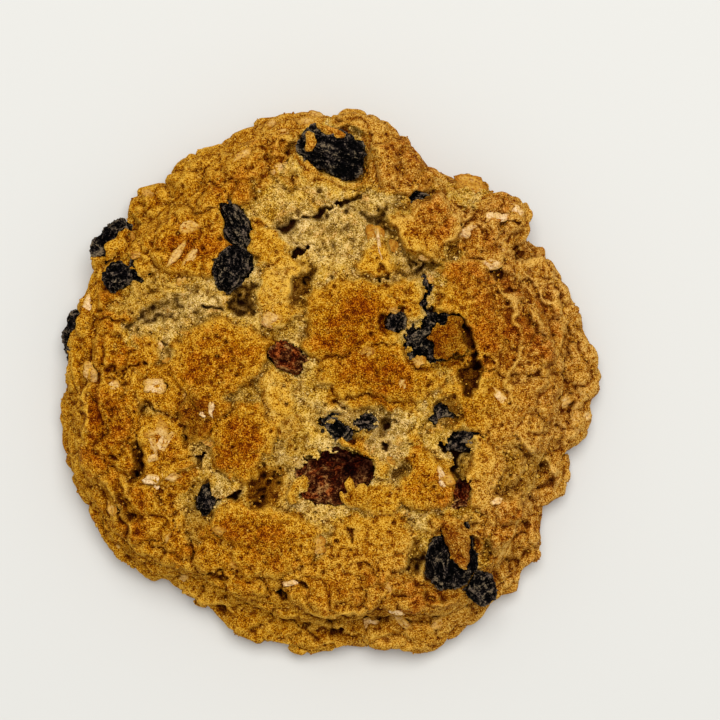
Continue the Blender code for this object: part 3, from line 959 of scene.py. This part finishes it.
class Surface:
    """The finished dough, for laying small things on it."""

    def __init__(self, dough):
        self.mesh = dough.data
        self.points = points_of(self.mesh)
        self.normals = normals_of(self.mesh)
        depsgraph = bpy.context.evaluated_depsgraph_get()
        self.tree = BVHTree.FromObject(dough, depsgraph)

    def value(self, name):
        return read(self.mesh.attributes[name].data, "value")[:, 0]

    def top_at(self, x, y):
        """The highest point of the dough at x, y, with a normal averaged around it."""
        hit = self.tree.ray_cast(Vector((x, y, 60)) * MM, Vector((0, 0, -1)))
        if hit[0] is None:
            return None
        near = np.linalg.norm(self.points - np.array(hit[0]) / MM, axis=1) < 1.8
        normal = self.normals[near].mean(0) if near.any() else np.array(hit[1])
        return np.array(hit[0]) / MM, normal / np.linalg.norm(normal)


def band_of_faces(first, second, flip=False):
    """Faces between two rings of a flake, each given by the number of its first point."""
    faces = []
    for i in range(FLAKE_SECTORS):
        j = (i + 1) % FLAKE_SECTORS
        quad = (first + i, second + i, second + j, first + j)
        faces.append(quad[::-1] if flip else quad)
    return faces


def flake_faces():
    """The top of a flake, its underside, and the edge between them."""
    faces = []
    half = (FLAKE_RINGS + 1) * FLAKE_SECTORS
    for base, flip in ((0, False), (half, True)):
        for ring in range(FLAKE_RINGS):
            first = base + ring * FLAKE_SECTORS
            faces += band_of_faces(first, first + FLAKE_SECTORS, flip)
    edge = FLAKE_RINGS * FLAKE_SECTORS
    return np.array(faces + band_of_faces(edge, half + edge))


def flake_form(length, width, random):
    """A rolled oat baked into crust: a thin torn oval with a groove and ribs along it."""
    turn = np.arange(FLAKE_SECTORS) * math.tau / FLAKE_SECTORS
    corners = random.uniform(0.6, 1.15, FLAKE_CORNERS)
    corners[-1] = corners[0]
    torn = np.interp(turn, np.linspace(0, math.tau, FLAKE_CORNERS), corners)
    torn = torn + random.uniform(-0.08, 0.08, FLAKE_SECTORS)
    curl = random.uniform(-0.12, 0.04)
    phase = random.uniform(0, math.tau)
    points = []
    for side, thick in ((1, 0.17), (-1, 0.2)):
        for ring in range(FLAKE_RINGS + 1):
            share = ring / FLAKE_RINGS
            x = np.cos(turn) * share * torn
            y = np.sin(turn) * share * torn
            swell = thick * np.sqrt(np.clip(1.02 - share**3, 0, 1))
            groove = -0.1 * np.exp(-((y / 0.12) ** 2)) * (1 - share)
            ribs = (0.05 + 0.05 * width) * np.cos(8 * y + 2.5 * x + phase) * (1 - share**4)
            lift = curl * width * (x * x + y * y) * 1.6 + 0.12 * np.sin(3 * x + phase) * np.cos(4 * y)
            z = lift + side * (swell + groove) + ribs
            points.append(np.stack([x * length, y * width, z], axis=1))
    return np.concatenate(points)


def place(points, spot, normal, turn, tilt):
    """Points laid on a spot, with their z along its normal, turned about it and tilted."""
    side = np.array([1.0, 0, 0]) if abs(normal[0]) < 0.9 else np.array([0, 1.0, 0])
    east = side - normal * (side @ normal)
    east /= np.linalg.norm(east)
    axes = np.stack([east, np.cross(normal, east), normal], axis=1)
    spin = Matrix.Rotation(math.radians(turn), 3, "Z") @ Matrix.Rotation(math.radians(tilt), 3, "X")
    return points @ (axes @ np.array(spin)).T + spot


def flake_spots(surface, random):
    """Where each flake lies, with its normal, half sizes, turn, tilt and paleness."""
    for x, y, length, width, turn, tilt, pale in FLAKES:
        found = surface.top_at(x, y)
        if found is None:
            found = surface.top_at(x * 0.97, y * 0.97)
        yield *found, length, width, turn, tilt, pale
    level = np.nonzero(surface.normals[:, 2] > 0.35)[0]
    for index in random.choice(level, LOOSE_FLAKES):
        normal = surface.normals[index] + random.normal(0, 0.25, 3)
        size = random.uniform(0.9, 1.9)
        normal /= np.linalg.norm(normal)
        width = size * random.uniform(0.5, 0.8)
        turn, tilt, pale = random.uniform(0, 360), random.uniform(0, 15), random.uniform(0.2, 0.6)
        yield surface.points[index], normal, size, width, turn, tilt, pale


def make_flakes(surface):
    random = np.random.default_rng(5)
    points, tones, rims = [], [], []
    for spot, normal, length, width, turn, tilt, pale in flake_spots(surface, random):
        # A flake lies flatter than the crumbly spot under it, and a little way into it.
        normal = normal * 0.6 + np.array([0, 0, 0.4])
        normal /= np.linalg.norm(normal)
        form = flake_form(length * FLAKE_SWELL, width * FLAKE_SWELL, random)
        rims.append(np.hypot(form[:, 0] / length, form[:, 1] / width) / FLAKE_SWELL)
        lift = 0.35 if width < 0.8 < length else 0.05
        points.append(place(form, spot + normal * lift, normal, turn, tilt))
        tones.append(np.full(len(form), pale))
    starts = np.arange(len(points)) * len(points[0])
    faces = flake_faces() + starts[:, None, None]
    flakes = mesh_from("oat_flakes", np.concatenate(points), faces.reshape(-1, 4))
    store(flakes.data, paleness=np.concatenate(tones), rim=np.concatenate(rims))
    return flakes


def make_crumbs(surface):
    """Loose grains of crust and crumb, pressed lightly into the top and sides."""
    random = np.random.default_rng(6)
    form = bmesh.new()
    bmesh.ops.create_icosphere(form, subdivisions=1, radius=1)
    ball = np.array([v.co for v in form.verts])
    shell = np.array([[v.index for v in f.verts] for f in form.faces])
    form.free()
    browning, paleness, depth = (surface.value(name) for name in ("browning", "paleness", "depth"))
    seen = np.nonzero(surface.normals[:, 2] > 0.05)[0]
    open_crumb = (depth < 0.05) * (surface.normals[:, 2] > 0.2)
    likely = (open_crumb * (0.35 + paleness))[seen]
    chosen = random.choice(seen, CRUMBS, p=likely / likely.sum())
    size = random.uniform(0.14, 0.34, CRUMBS) * np.where(random.uniform(0, 1, CRUMBS) < 0.04, 1.6, 1)
    stretch = random.uniform(0.6, 1.3, (CRUMBS, 1, 3))
    knobs = random.uniform(0.75, 1.2, (CRUMBS, len(ball), 1))
    points = ball[None] * stretch * knobs * size[:, None, None]
    points += (surface.points[chosen] + surface.normals[chosen] * size[:, None] * 0.25)[:, None]
    faces = shell[None] + (np.arange(CRUMBS) * len(ball))[:, None, None]
    crumbs = mesh_from("crumbs", points.reshape(-1, 3), faces.reshape(-1, 3))
    tone = browning[chosen] + random.normal(0, 0.12, CRUMBS)
    pale = paleness[chosen] + 0.2 * (random.uniform(0, 1, CRUMBS) < 0.3)
    each = {"browning": tone, "paleness": pale}
    # Crumbs get a little painted sheen, painted light as small ridges, and no painted shade.
    same = {"shade": 0.0, "depth": 0.0, "stand": 0.5, "dryness": 0.1, "bulge": 0.6}
    each.update((name, np.full(CRUMBS, value)) for name, value in same.items())
    store(crumbs.data, **{name: np.repeat(values, len(ball)) for name, values in each.items()})
    return crumbs


# Materials. Colours are red, green and blue, 0 to 255, and a ramp's colours run from dark to light.

CRUST_STOPS = (0, 0.15, 0.3, 0.45, 0.6, 0.75, 0.88, 1)
BAKED = (
    (84, 28, 0), (112, 50, 0), (132, 70, 0), (150, 86, 0),
    (166, 104, 0), (184, 126, 10), (200, 144, 26), (218, 167, 60),
)
# The crust's colours under a painted sheen: paler and greyer.
SHEENED = (
    (92, 38, 4), (120, 60, 12), (140, 82, 20), (156, 98, 30),
    (172, 116, 42), (190, 140, 66), (208, 162, 94), (226, 186, 128),
)
PALE_STOPS = (0, 0.2, 0.4, 0.55, 0.7, 0.85, 1)
GOLDEN = (
    (88, 44, 0), (128, 80, 0), (162, 115, 16), (184, 136, 28),
    (201, 155, 46), (215, 172, 70), (231, 190, 100),
)
CRUMB = (
    (108, 74, 16), (140, 103, 26), (168, 131, 46), (190, 153, 68),
    (206, 170, 88), (220, 182, 106), (236, 202, 134),
)
OAT_STOPS = (0, 0.3, 0.65, 1)
OAT = ((168, 108, 16), (194, 142, 46), (212, 168, 92), (232, 198, 146))
# A skin's ramp runs from its own dark colour in the creases to painted glints on the crests.
SKIN_STOPS = (0, 0.35, 0.62, 1)
DARK_SKIN = ((1, 1, 1), (11, 8, 8), (38, 33, 28), (126, 108, 82))
RED_SKIN = ((28, 7, 2), (74, 30, 10), (112, 66, 28), (176, 130, 72))
DARK_TINT = (215, 213, 238)
RED_TINT = (255, 164, 104)
SCORCH_TINT = (250, 216, 190)
# Tints of painted shade: in hollows, where the top sinks, in grooves and deep in cracks.
SHADE_TINT = (150, 130, 92)
SUNKEN_SHADE_TINT = (150, 124, 84)
GROOVE_SHADE_TINT = (160, 104, 50)
DEEP_SHADE_TINT = (84, 56, 34)
RAISIN_SCORCH_TINT = (112, 88, 100)
OAT_GRAIN_TINT = (176, 130, 80)
PAPER = (210, 209, 204)


def linear(red, green, blue):
    """A screen colour, 0 to 255, as the renderer's light values."""
    parts = [c / 255 for c in (red, green, blue)]
    return tuple(p / 12.92 if p <= 0.04045 else ((p + 0.055) / 1.055) ** 2.4 for p in parts) + (1,)


class Nodes:
    """A material's node tree with a Principled shader, and short ways to add nodes to it."""

    def __init__(self, name, roughness, specular):
        self.material = bpy.data.materials.new(name)
        self.material.use_nodes = True
        self.tree = self.material.node_tree
        self.shader = self.tree.nodes["Principled BSDF"]
        self.shader.inputs["Roughness"].default_value = roughness
        self.shader.inputs["Specular IOR Level"].default_value = specular
        self.place = self.add("ShaderNodeTexCoord").outputs["Object"]

    def add(self, kind, inputs=(), **settings):
        node = self.tree.nodes.new(kind)
        for key, value in settings.items():
            setattr(node, key, value)
        for key, value in dict(inputs).items():
            self.set(node.inputs[key], value)
        return node

    def set(self, socket, value):
        if isinstance(value, bpy.types.NodeSocket):
            self.tree.links.new(value, socket)
        else:
            socket.default_value = value

    def attribute(self, name):
        return self.add("ShaderNodeAttribute", attribute_name=name).outputs["Fac"]

    def math(self, operation, a, b):
        return self.add("ShaderNodeMath", {0: a, 1: b}, operation=operation).outputs[0]

    def times(self, a, b):
        return self.math("MULTIPLY", a, b)

    def plus(self, a, b):
        return self.math("ADD", a, b)

    def minus(self, a, b):
        return self.math("SUBTRACT", a, b)

    def centred(self, value, weight):
        """A value from 0 to 1, moved to lie about 0 and then weighted."""
        return self.times(self.minus(value, 0.5), weight)

    def noise(self, size, detail, roughness=0.5):
        """Noise from 0 to 1 with features about as wide as size, in millimetres."""
        inputs = {"Vector": self.place, "Scale": 1 / (size * MM), "Detail": detail, "Roughness": roughness}
        return self.add("ShaderNodeTexNoise", inputs).outputs["Fac"]

    def ramp(self, fac, stops, colours):
        node = self.add("ShaderNodeValToRGB", {"Fac": fac})
        elements = node.color_ramp.elements
        while len(elements) < len(stops):
            elements.new(0.5)
        for element, stop, colour in zip(elements, stops, colours):
            element.position = stop
            element.color = linear(*colour)
        return node.outputs["Color"]

    def band(self, value, low, high):
        """0 where value is at low, 1 where it is at high, and a smooth step between."""
        inputs = {"Value": value, "From Min": low, "From Max": high}
        return self.add("ShaderNodeMapRange", inputs, interpolation_type="SMOOTHSTEP").outputs[0]

    def mix(self, fac, a, b, blend="MIX"):
        node = self.add("ShaderNodeMix", data_type="RGBA", blend_type=blend)
        self.set(node.inputs["Factor"], fac)
        self.set(node.inputs["A"], a)
        self.set(node.inputs["B"], b)
        return node.outputs["Result"]

    def tinted(self, colour, tint, share):
        """A colour multiplied by a tint, by a share from 0 to 1."""
        return self.mix(share, colour, linear(*tint), "MULTIPLY")

    def bump(self, height, distance, strength):
        """Relief as deep as distance, in millimetres."""
        inputs = {"Height": height, "Distance": distance * MM, "Strength": strength}
        return self.add("ShaderNodeBump", inputs).outputs["Normal"]

    def finish(self, colour, normal):
        self.set(self.shader.inputs["Base Color"], colour)
        self.set(self.shader.inputs["Normal"], normal)
        return self.material


def dough_material():
    """One tone, from dark to light, runs through a colour ramp for each kind of crust and crumb."""
    n = Nodes("baked_dough", 0.8, 0.03)
    grain = n.noise(0.25, 1.5, 0.75)
    specks = n.noise(1.0, 2.0, 0.6)
    patches = n.noise(4.0, 4.0, 0.62)
    browning, paleness = n.attribute("browning"), n.attribute("paleness")
    bulge, stand = n.attribute("bulge"), n.attribute("stand")
    tone = n.minus(0.94, n.times(browning, 0.61))
    # Grain speckles the crumb, and also paints light on its bump's high points and shade in its pits; bulge
    # and what stands out add painted light and shade too.
    for source, weight in ((grain, 3.3), (specks, 0.45), (patches, 0.7), (bulge, 0.6), (stand, 0.3)):
        tone = n.plus(tone, n.centred(source, weight))
    # Pores: small dots of painted shade, sunk by the bump as well.
    shaded_pores = n.band(n.noise(0.62, 1.0), 0.42, 0.36)
    tone = n.minus(tone, n.times(shaded_pores, 0.22))
    baked, sheened = (n.ramp(tone, CRUST_STOPS, colours) for colours in (BAKED, SHEENED))
    golden, crumb = (n.ramp(tone, PALE_STOPS, colours) for colours in (GOLDEN, CRUMB))
    # A painted sheen on the rim, strongest to the east.
    colour = n.mix(n.attribute("dryness"), baked, sheened)
    colour = n.mix(n.band(paleness, 0.0, 0.6), colour, golden)
    colour = n.mix(n.band(paleness, 0.55, 1.0), colour, crumb)
    scorched = n.times(n.band(browning, 0.6, 0.95), n.band(patches, 0.62, 0.4))
    colour = n.tinted(colour, SCORCH_TINT, n.times(scorched, 0.8))
    colour = n.tinted(colour, SHADE_TINT, n.attribute("shade"))
    # Painted shade where the top sinks below its surroundings.
    colour = n.tinted(colour, SUNKEN_SHADE_TINT, n.times(n.band(stand, 0.4, 0.1), 0.45))
    # Painted shade in grooves, weaker on pale crumb.
    strength = n.minus(0.6, n.times(paleness, 0.35))
    colour = n.tinted(colour, GROOVE_SHADE_TINT, n.times(n.band(bulge, 0.42, 0.1), strength))
    # Painted shade deep in cracks and holes.
    colour = n.tinted(colour, DEEP_SHADE_TINT, n.attribute("depth"))
    relief = n.plus(n.times(grain, 0.7), n.times(shaded_pores, -0.3))
    return n.finish(colour, n.bump(relief, 0.35, 1.0))


def raisin_material(name, skin, tint, scorched=False):
    """Wrinkled skin: its colours run from the skin's own dark in the creases to painted glints on the crests,
    with patches of a tint.
    """
    n = Nodes(name, 0.3, 0.015)
    mottle = n.noise(0.34, 2.0, 0.7)
    # Painted glints on the crests; the mottle gives flecks of dough and painted glints both.
    tone = n.plus(n.times(n.attribute("crest"), 0.45), n.times(mottle, 1.1))
    colour = n.ramp(n.band(tone, 0.5, 1.08), SKIN_STOPS, skin)
    patches = n.band(n.noise(2.2, 2.0), 0.44, 0.6)
    colour = n.tinted(colour, tint, n.times(patches, 0.8))
    if scorched:
        colour = n.tinted(colour, RAISIN_SCORCH_TINT, n.attribute("scorch"))
    return n.finish(colour, n.bump(mottle, 0.5, 1.0))


def oat_material():
    n = Nodes("toasted_oat", 0.7, 0.15)
    mottle = n.noise(1.2, 3.0, 0.65)
    grain = n.noise(0.36, 2.0, 0.6)
    tone = n.plus(n.attribute("paleness"), n.centred(mottle, 1.4))
    tone = n.minus(tone, n.times(n.band(n.attribute("rim"), 0.55, 1.0), 0.35))
    colour = n.ramp(tone, OAT_STOPS, OAT)
    colour = n.tinted(colour, OAT_GRAIN_TINT, n.times(n.band(grain, 0.5, 0.36), 0.8))
    return n.finish(colour, n.bump(grain, 0.25, 0.9))


# Stage, light and camera, in metres. The camera looks straight down and is as far off as it has to
# be for the cookie to fill the picture as it does in the photo.

CAMERA_PLACE = (0.0056, 0.0042, 0.6)
FOCAL_LENGTH = 148.5
SENSOR = 36.0
LIGHT_PLACE = (0.08, 0.36, 1.19)
LIGHT_AIM = (0, 0, 0.01)
LIGHT_SIZE = 0.85
LIGHT_POWER = 13.9
SKY_STRENGTH = 0.56
FLOOR_RADIUS = 1.5


def make_camera():
    camera = bpy.data.cameras.new("camera")
    camera.lens = FOCAL_LENGTH
    camera.sensor_width = SENSOR
    made = new_object("camera", camera)
    made.location = CAMERA_PLACE
    bpy.context.scene.camera = made


def make_light():
    """A wide soft lamp overhead, a little to the north."""
    lamp = bpy.data.lights.new("overhead", "AREA")
    lamp.shape = "DISK"
    lamp.size = LIGHT_SIZE
    lamp.energy = LIGHT_POWER
    made = new_object("overhead", lamp)
    made.location = LIGHT_PLACE
    made.rotation_euler = (Vector(LIGHT_PLACE) - Vector(LIGHT_AIM)).to_track_quat("Z", "Y").to_euler()


def make_stage():
    form = bmesh.new()
    bmesh.ops.create_circle(form, cap_ends=True, segments=96, radius=FLOOR_RADIUS)
    floor = object_from("floor", form)
    n = Nodes("pale_paper", 0.9, 0.1)
    floor.data.materials.append(n.finish(linear(*PAPER), n.bump(n.noise(0.5, 2.0), 0.01, 0.2)))
    floor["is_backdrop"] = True
    world = bpy.data.worlds.new("studio")
    world.use_nodes = True
    sky = world.node_tree.nodes["Background"]
    sky.inputs["Color"].default_value = (1, 1, 1, 1)
    sky.inputs["Strength"].default_value = SKY_STRENGTH
    bpy.context.scene.world = world
    bpy.context.scene.view_settings.view_transform = "Standard"


def finish_piece(piece, material, slot, *nodes):
    """Gives a piece its material, rides it on the body, and hides the nodes it replaces. The slot is not
    used.
    """
    piece.data.materials.clear()
    piece.data.materials.append(material)
    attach(piece, "root")
    if nodes:
        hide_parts(*nodes)


def write_sizes():
    boxes = {"cad": CAD_BOX, "visual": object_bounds()}
    plain = {key: [list(corner) for corner in box] for key, box in boxes.items()}


def main():
    raisins = {name: make_raisin(name, number) for number, name in enumerate(RAISINS)}
    dough = make_dough(raisins.values())
    crust = dough_material()
    surface = Surface(dough)
    finish_piece(dough, crust, "baked_dough", "dough")
    dark = raisin_material("dark_raisin_skin", DARK_SKIN, DARK_TINT)
    red = raisin_material("red_brown_raisin_skin", RED_SKIN, RED_TINT, scorched=True)
    for name, raisin in raisins.items():
        is_red = name in RED_RAISINS
        finish_piece(raisin, red if is_red else dark, "raisin_red_brown" if is_red else "raisin_dark", name)
    finish_piece(make_flakes(surface), oat_material(), "baked_dough")
    finish_piece(make_crumbs(surface), crust, "baked_dough")
    make_stage()
    make_light()
    make_camera()
    write_sizes()


main()
